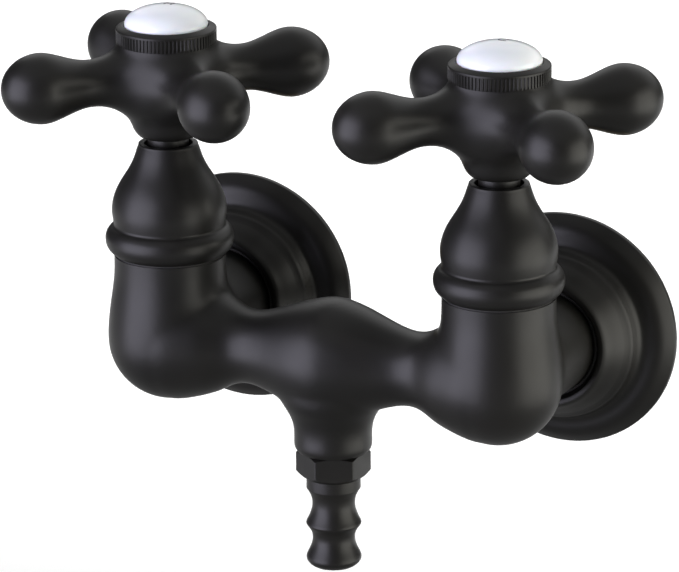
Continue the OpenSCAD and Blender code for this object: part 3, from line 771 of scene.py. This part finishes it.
brass = machined("machined_brass", (0.52, 0.36, 0.15), (0.68, 0.50, 0.23))
old_brass = machined("darkened_brass", (0.30, 0.20, 0.09), (0.45, 0.31, 0.14))
steel = machined("brushed_steel", (0.48, 0.48, 0.48), (0.62, 0.61, 0.60), scale=200)
rubber = machined("black_rubber", (0.012, 0.012, 0.012), (0.022, 0.021, 0.020), 0.0, (0.62, 0.8), 240)
alumina = machined("lapped_ceramic", (0.70, 0.68, 0.62), (0.80, 0.78, 0.73), 0.0, (0.25, 0.35), 150)

# %% Each node takes the finish of its slot
by_slot = {"brass": brass, "spindle_brass": old_brass, "steel": steel, "rubber": rubber,
           "alumina": alumina, "dark_finish": coat, "porcelain": glaze}
for part in frame["record"]["subparts"]:
    node = frame["nodes"][part["node"]]
    for place in node.material_slots:
        place.material = by_slot[part["material_slot"]]

# %% [markdown]
# ## Floor, light and camera
# The faucet hangs over a plain pale floor. Dark satin metal shows little but its highlights, so
# the lights on it are large and soft: a cool one on the left, a warm one on the right and a dark
# gap between them, which draws a highlight down each side of every turned piece. A wide one
# overhead and a long one behind lift the tops and the edges. A lit floor would throw its light
# back up and grey the dark undersides. Light linking therefore keeps these four off the floor,
# which glows a little by itself and has its own four lights, turned down beside the faucet.

# %% Floor
def floor_material():
    material, nodes, links, shader = new_material(
        "pale_floor", Roughness=0.9, Specular_IOR_Level=0.1,
        Emission_Color=(1, 1, 1, 1), Emission_Strength=0.22)
    links.new(ramp(nodes, links, noise(nodes, links, 3), (0.90, 0.90, 0.90), (0.92, 0.92, 0.92)),
              shader.inputs["Base Color"])
    return material


floor_z, floor_half = -0.5, 3.4
bm = bmesh.new()
bmesh.ops.create_grid(bm, x_segments=1, y_segments=1, size=floor_half)
bmesh.ops.translate(bm, vec=(0, 0, floor_z), verts=bm.verts)
floor = piece("floor", bm)
floor.data.materials.append(floor_material())
print(f"floor {2 * floor_half:.1f} m wide, {-floor_z:.1f} m below the inlets")

# %% Helpers: a direction and a soft light
def direction(azimuth, elevation):
    """A unit vector away from the faucet; azimuth 0 is straight in front of it."""
    a, e = math.radians(azimuth), math.radians(elevation)
    return Vector((math.sin(a) * math.cos(e), -math.cos(a) * math.cos(e), math.sin(e)))


def area_light(name, place, turn, size, power):
    """A rectangular area light that the camera doesn't see."""
    data = bpy.data.lights.new(name, "AREA")
    data.shape = "RECTANGLE"
    data.size, data.size_y = size
    data.energy = power
    lamp = bpy.data.objects.new(name, data)
    lamp.location = place
    lamp.rotation_euler = turn
    lamp.visible_camera = False
    bpy.context.scene.collection.objects.link(lamp)
    return lamp


# %% Lights on the faucet, which leave the floor alone
faucet_only = bpy.data.collections.new("faucet_only")
faucet_only.objects.link(floor)
faucet_only.collection_objects[0].light_linking.link_state = "EXCLUDE"


def softbox(name, azimuth, elevation, distance, size, power, colour):
    """A light that faces the faucet from a direction."""
    back = direction(azimuth, elevation)
    turn = (-back).to_track_quat("-Z", "Y").to_euler()
    lamp = area_light(name, centre + back * distance, turn, size, power)
    lamp.data.color = colour
    lamp.light_linking.receiver_collection = faucet_only


softbox("cool_left", -36, 7, 0.9, (1.00, 1.00), 16, (0.86, 0.84, 1.0))
softbox("warm_right", 92, 1, 0.9, (1.05, 0.85), 9, (1.0, 0.98, 0.90))
softbox("overhead", 0, 89, 1.1, (2.0, 2.0), 6, (1.0, 1.0, 1.0))
softbox("rear_edge", 180, 32, 1.4, (2.6, 0.9), 8, (1.0, 1.0, 1.0))

# %% Light on the floor all round, too narrow a cone to reach the faucet
def floor_wash(name, azimuth, power):
    out, height, cone = 2.2, 0.9, 80
    place = centre + direction(azimuth, 0) * out + Vector((0, 0, height))
    lamp = area_light(name, place, (0, 0, math.radians(azimuth)), (3.2, 2.4), power)
    lamp.data.spread = math.radians(cone)


for name, azimuth, power in (("front", 0, 4), ("right", 90, 12), ("rear", 180, 34), ("left", 270, 12)):
    floor_wash(f"wash_{name}", azimuth, power)
print("lights:", len(bpy.data.lights))

# %% World: dim to the faucet, white to the eye
world = bpy.context.scene.world or bpy.data.worlds.new("studio")
bpy.context.scene.world = world
world.use_nodes = True
background = world.node_tree.nodes["Background"]
background.inputs["Color"].default_value = (0.97, 0.98, 1.0, 1)
seen = world.node_tree.nodes.new("ShaderNodeLightPath")
strength = world.node_tree.nodes.new("ShaderNodeMapRange")
strength.inputs["To Min"].default_value = 0.06
strength.inputs["To Max"].default_value = 1.0
world.node_tree.links.new(seen.outputs["Is Camera Ray"], strength.inputs["Value"])
world.node_tree.links.new(strength.outputs["Result"], background.inputs["Strength"])
bpy.context.scene.view_settings.view_transform = "Standard"

# %% Camera
camera_data = bpy.data.cameras.new("camera")
camera_data.sensor_width = 36
camera_data.lens = 258.2
camera = bpy.data.objects.new("camera", camera_data)
bpy.context.scene.collection.objects.link(camera)
distance, roll = 1.15, -0.40
aim = Vector((1.7, -41.9, 16.6)) * MM
back = direction(25.19, 17.31)
camera.location = aim + back * distance
turn = back.to_track_quat("Z", "Y").to_matrix() @ Matrix.Rotation(math.radians(roll), 3, "Z")
camera.rotation_euler = turn.to_euler()
bpy.context.scene.camera = camera
print("camera", [round(c, 3) for c in camera.location])
